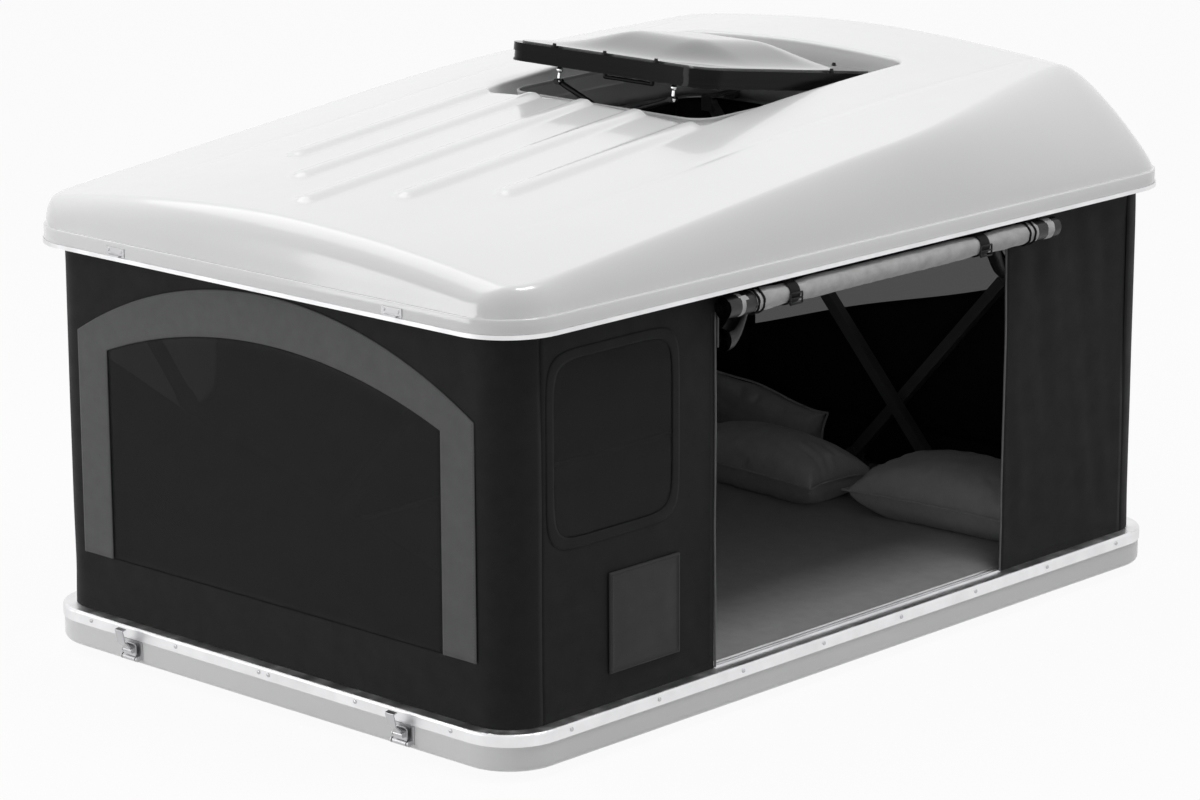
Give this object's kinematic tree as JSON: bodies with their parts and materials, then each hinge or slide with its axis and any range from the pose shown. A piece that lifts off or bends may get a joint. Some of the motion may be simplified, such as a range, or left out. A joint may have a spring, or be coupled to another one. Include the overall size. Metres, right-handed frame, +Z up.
{
  "type": "roof top tent",
  "caption": "Hard-shell roof top tent with a moulded roof that lifts straight up on crossing telescopic arms, fabric walls, mesh windows, a side door and a tilting skylight hatch.",
  "frame": {"origin": "on the plane of the mount rails' undersides, below the middle of the tray", "axes": "+Z up, Y along the tent with the latched front at -Y, +X towards the side with the open door"},
  "size_m": [1.4647, 2.2016, 1.2577],
  "materials": {
    "tray_white": "gloss",
    "roof_white": "high gloss",
    "alu": "satin",
    "steel": "satin",
    "chrome": "polished",
    "board": "matt",
    "mattress_cloth": "woven",
    "pillow_cloth": "woven",
    "arm_grey": "painted satin",
    "wall_cloth": "coated weave",
    "net": "fine mesh",
    "border_cloth": "coated weave",
    "pocket_cloth": "coated weave",
    "lining_cloth": "thin coated weave",
    "webbing": "webbing",
    "black_plastic": "satin",
    "rim_white": "gloss",
    "seal_rubber": "matt",
    "smoked_pane": "gloss"
  },
  "bodies": {
    "base": {"base_tray": "tray_white", "floor_board": "board", "base_frame": "alu", "frame_rivets": "alu", "mount_rails": "alu", "rail_bolts": "steel", "door_sill": "alu", "mattress": "mattress_cloth", "pillow_left": "pillow_cloth", "pillow_middle": "pillow_cloth", "pillow_right": "pillow_cloth", "arm_feet": "arm_grey", "latch_plates": "steel", "wall_front": "wall_cloth", "wall_rear": "wall_cloth", "wall_left": "wall_cloth", "wall_right": "wall_cloth", "mesh_front": "net", "mesh_rear": "net", "mesh_sides": "net", "border_front": "border_cloth", "border_rear": "border_cloth", "side_pocket": "pocket_cloth", "door_roll": "lining_cloth", "net_roll": "net", "roll_straps": "webbing", "window_blinds": "wall_cloth"},
    "roof": {"roof_shell": "roof_white", "roof_trim": "alu", "roof_frame": "alu", "latch_keepers": "steel", "arm_brackets": "arm_grey", "skylight_frame": "rim_white", "skylight_seal": "seal_rubber", "stay_tracks": "black_plastic"},
    "hatch": {"hatch_frame": "black_plastic", "hatch_pane": "smoked_pane", "hatch_seal": "seal_rubber", "hatch_caps": "black_plastic", "hatch_handle": "black_plastic", "hatch_hinges": "black_plastic", "stay_balls": "chrome"},
    "stay_left": {"stay_left": "black_plastic"},
    "stay_right": {"stay_right": "black_plastic"},
    "sleeve_fl": {"arm_sleeve_fl": "arm_grey"},
    "tube_fl": {"arm_tube_fl": "arm_grey"},
    "lever_fl": {"latch_lever_fl": "steel"},
    "hook_fl": {"latch_hook_fl": "steel"},
    "sleeve_fr": {"arm_sleeve_fr": "arm_grey"},
    "tube_fr": {"arm_tube_fr": "arm_grey"},
    "lever_fr": {"latch_lever_fr": "steel"},
    "hook_fr": {"latch_hook_fr": "steel"},
    "sleeve_rl": {"arm_sleeve_rl": "arm_grey"},
    "tube_rl": {"arm_tube_rl": "arm_grey"},
    "lever_rl": {"latch_lever_rl": "steel"},
    "hook_rl": {"latch_hook_rl": "steel"},
    "sleeve_rr": {"arm_sleeve_rr": "arm_grey"},
    "tube_rr": {"arm_tube_rr": "arm_grey"},
    "lever_rr": {"latch_lever_rr": "steel"},
    "hook_rr": {"latch_hook_rr": "steel"}
  },
  "joints": [
    {"name": "roof_lift", "type": "slide", "parent": "base", "child": "roof", "axis": [0, 0, 1], "range_m": [-0.805, 0], "stiffness_N_per_m": 420, "springref_m": 1.3, "deforming": ["wall_front", "wall_rear", "wall_left", "wall_right", "mesh_front", "mesh_rear", "mesh_sides", "border_front", "border_rear", "side_pocket", "door_roll", "net_roll", "roll_straps", "window_blinds"]},
    {"name": "arm_swing_fl", "type": "hinge", "parent": "base", "child": "sleeve_fl", "pos_m": [0.143, -0.998, 0.128], "axis": [0, 1, 0], "range_deg": [-48.2, 0.2]},
    {"name": "arm_slide_fl", "type": "slide", "parent": "sleeve_fl", "child": "tube_fl", "axis": [-0.6692, 0, 0.7431], "range_m": [-0.3588, 0.0004]},
    {"name": "arm_swing_fr", "type": "hinge", "parent": "base", "child": "sleeve_fr", "pos_m": [-0.143, -0.964, 0.128], "axis": [0, -1, 0], "range_deg": [-48.2, 0.2]},
    {"name": "arm_slide_fr", "type": "slide", "parent": "sleeve_fr", "child": "tube_fr", "axis": [0.6692, 0, 0.7431], "range_m": [-0.3588, 0.0004]},
    {"name": "arm_swing_rl", "type": "hinge", "parent": "base", "child": "sleeve_rl", "pos_m": [0.143, 0.964, 0.128], "axis": [0, 1, 0], "range_deg": [-48.2, 0.2]},
    {"name": "arm_slide_rl", "type": "slide", "parent": "sleeve_rl", "child": "tube_rl", "axis": [-0.6692, 0, 0.7431], "range_m": [-0.3588, 0.0004]},
    {"name": "arm_swing_rr", "type": "hinge", "parent": "base", "child": "sleeve_rr", "pos_m": [-0.143, 0.998, 0.128], "axis": [0, -1, 0], "range_deg": [-48.2, 0.2]},
    {"name": "arm_slide_rr", "type": "slide", "parent": "sleeve_rr", "child": "tube_rr", "axis": [0.6692, 0, 0.7431], "range_m": [-0.3588, 0.0004]},
    {"name": "hatch_hinge", "type": "hinge", "parent": "roof", "child": "hatch", "pos_m": [0, 0.57107, 1.13154], "axis": [-1, 0, 0], "range_deg": [-9, 0]},
    {"name": "stay_swing_left", "type": "hinge", "parent": "hatch", "child": "stay_left", "pos_m": [-0.169, -0.00112, 1.15944], "axis": [0, 0.9903, -0.1392], "range_deg": [-19.36, 0.3]},
    {"name": "stay_swing_right", "type": "hinge", "parent": "hatch", "child": "stay_right", "pos_m": [0.169, -0.00112, 1.15944], "axis": [0, -0.9903, 0.1392], "range_deg": [-19.36, 0.3]},
    {"name": "latch_lever_fl_swing", "type": "hinge", "parent": "base", "child": "lever_fl", "pos_m": [-0.41, -1.07, 0.036], "axis": [1, 0, 0], "range_deg": [0, 95]},
    {"name": "latch_hook_fl_swing", "type": "hinge", "parent": "lever_fl", "child": "hook_fl", "pos_m": [-0.41, -1.076, 0.054], "axis": [1, 0, 0], "range_deg": [-13, 20]},
    {"name": "latch_lever_fr_swing", "type": "hinge", "parent": "base", "child": "lever_fr", "pos_m": [0.41, -1.07, 0.036], "axis": [1, 0, 0], "range_deg": [0, 95]},
    {"name": "latch_hook_fr_swing", "type": "hinge", "parent": "lever_fr", "child": "hook_fr", "pos_m": [0.41, -1.076, 0.054], "axis": [1, 0, 0], "range_deg": [-13, 20]},
    {"name": "latch_lever_rl_swing", "type": "hinge", "parent": "base", "child": "lever_rl", "pos_m": [-0.41, 1.07, 0.036], "axis": [-1, 0, 0], "range_deg": [0, 95]},
    {"name": "latch_hook_rl_swing", "type": "hinge", "parent": "lever_rl", "child": "hook_rl", "pos_m": [-0.41, 1.076, 0.054], "axis": [-1, 0, 0], "range_deg": [-13, 20]},
    {"name": "latch_lever_rr_swing", "type": "hinge", "parent": "base", "child": "lever_rr", "pos_m": [0.41, 1.07, 0.036], "axis": [-1, 0, 0], "range_deg": [0, 95]},
    {"name": "latch_hook_rr_swing", "type": "hinge", "parent": "lever_rr", "child": "hook_rr", "pos_m": [0.41, 1.076, 0.054], "axis": [-1, 0, 0], "range_deg": [-13, 20]}
  ],
  "couplings": [
    {"joint": "arm_swing_fl", "follows": "roof_lift", "rad_per_m": 1.0405},
    {"joint": "arm_slide_fl", "follows": "roof_lift", "ratio": 0.44516},
    {"joint": "arm_swing_fr", "follows": "roof_lift", "rad_per_m": 1.0405},
    {"joint": "arm_slide_fr", "follows": "roof_lift", "ratio": 0.44516},
    {"joint": "arm_swing_rl", "follows": "roof_lift", "rad_per_m": 1.0405},
    {"joint": "arm_slide_rl", "follows": "roof_lift", "ratio": 0.44516},
    {"joint": "arm_swing_rr", "follows": "roof_lift", "rad_per_m": 1.0405},
    {"joint": "arm_slide_rr", "follows": "roof_lift", "ratio": 0.44516},
    {"joint": "stay_swing_left", "follows": "hatch_hinge", "ratio": 2.1071},
    {"joint": "stay_swing_right", "follows": "hatch_hinge", "ratio": 2.1071}
  ]
}
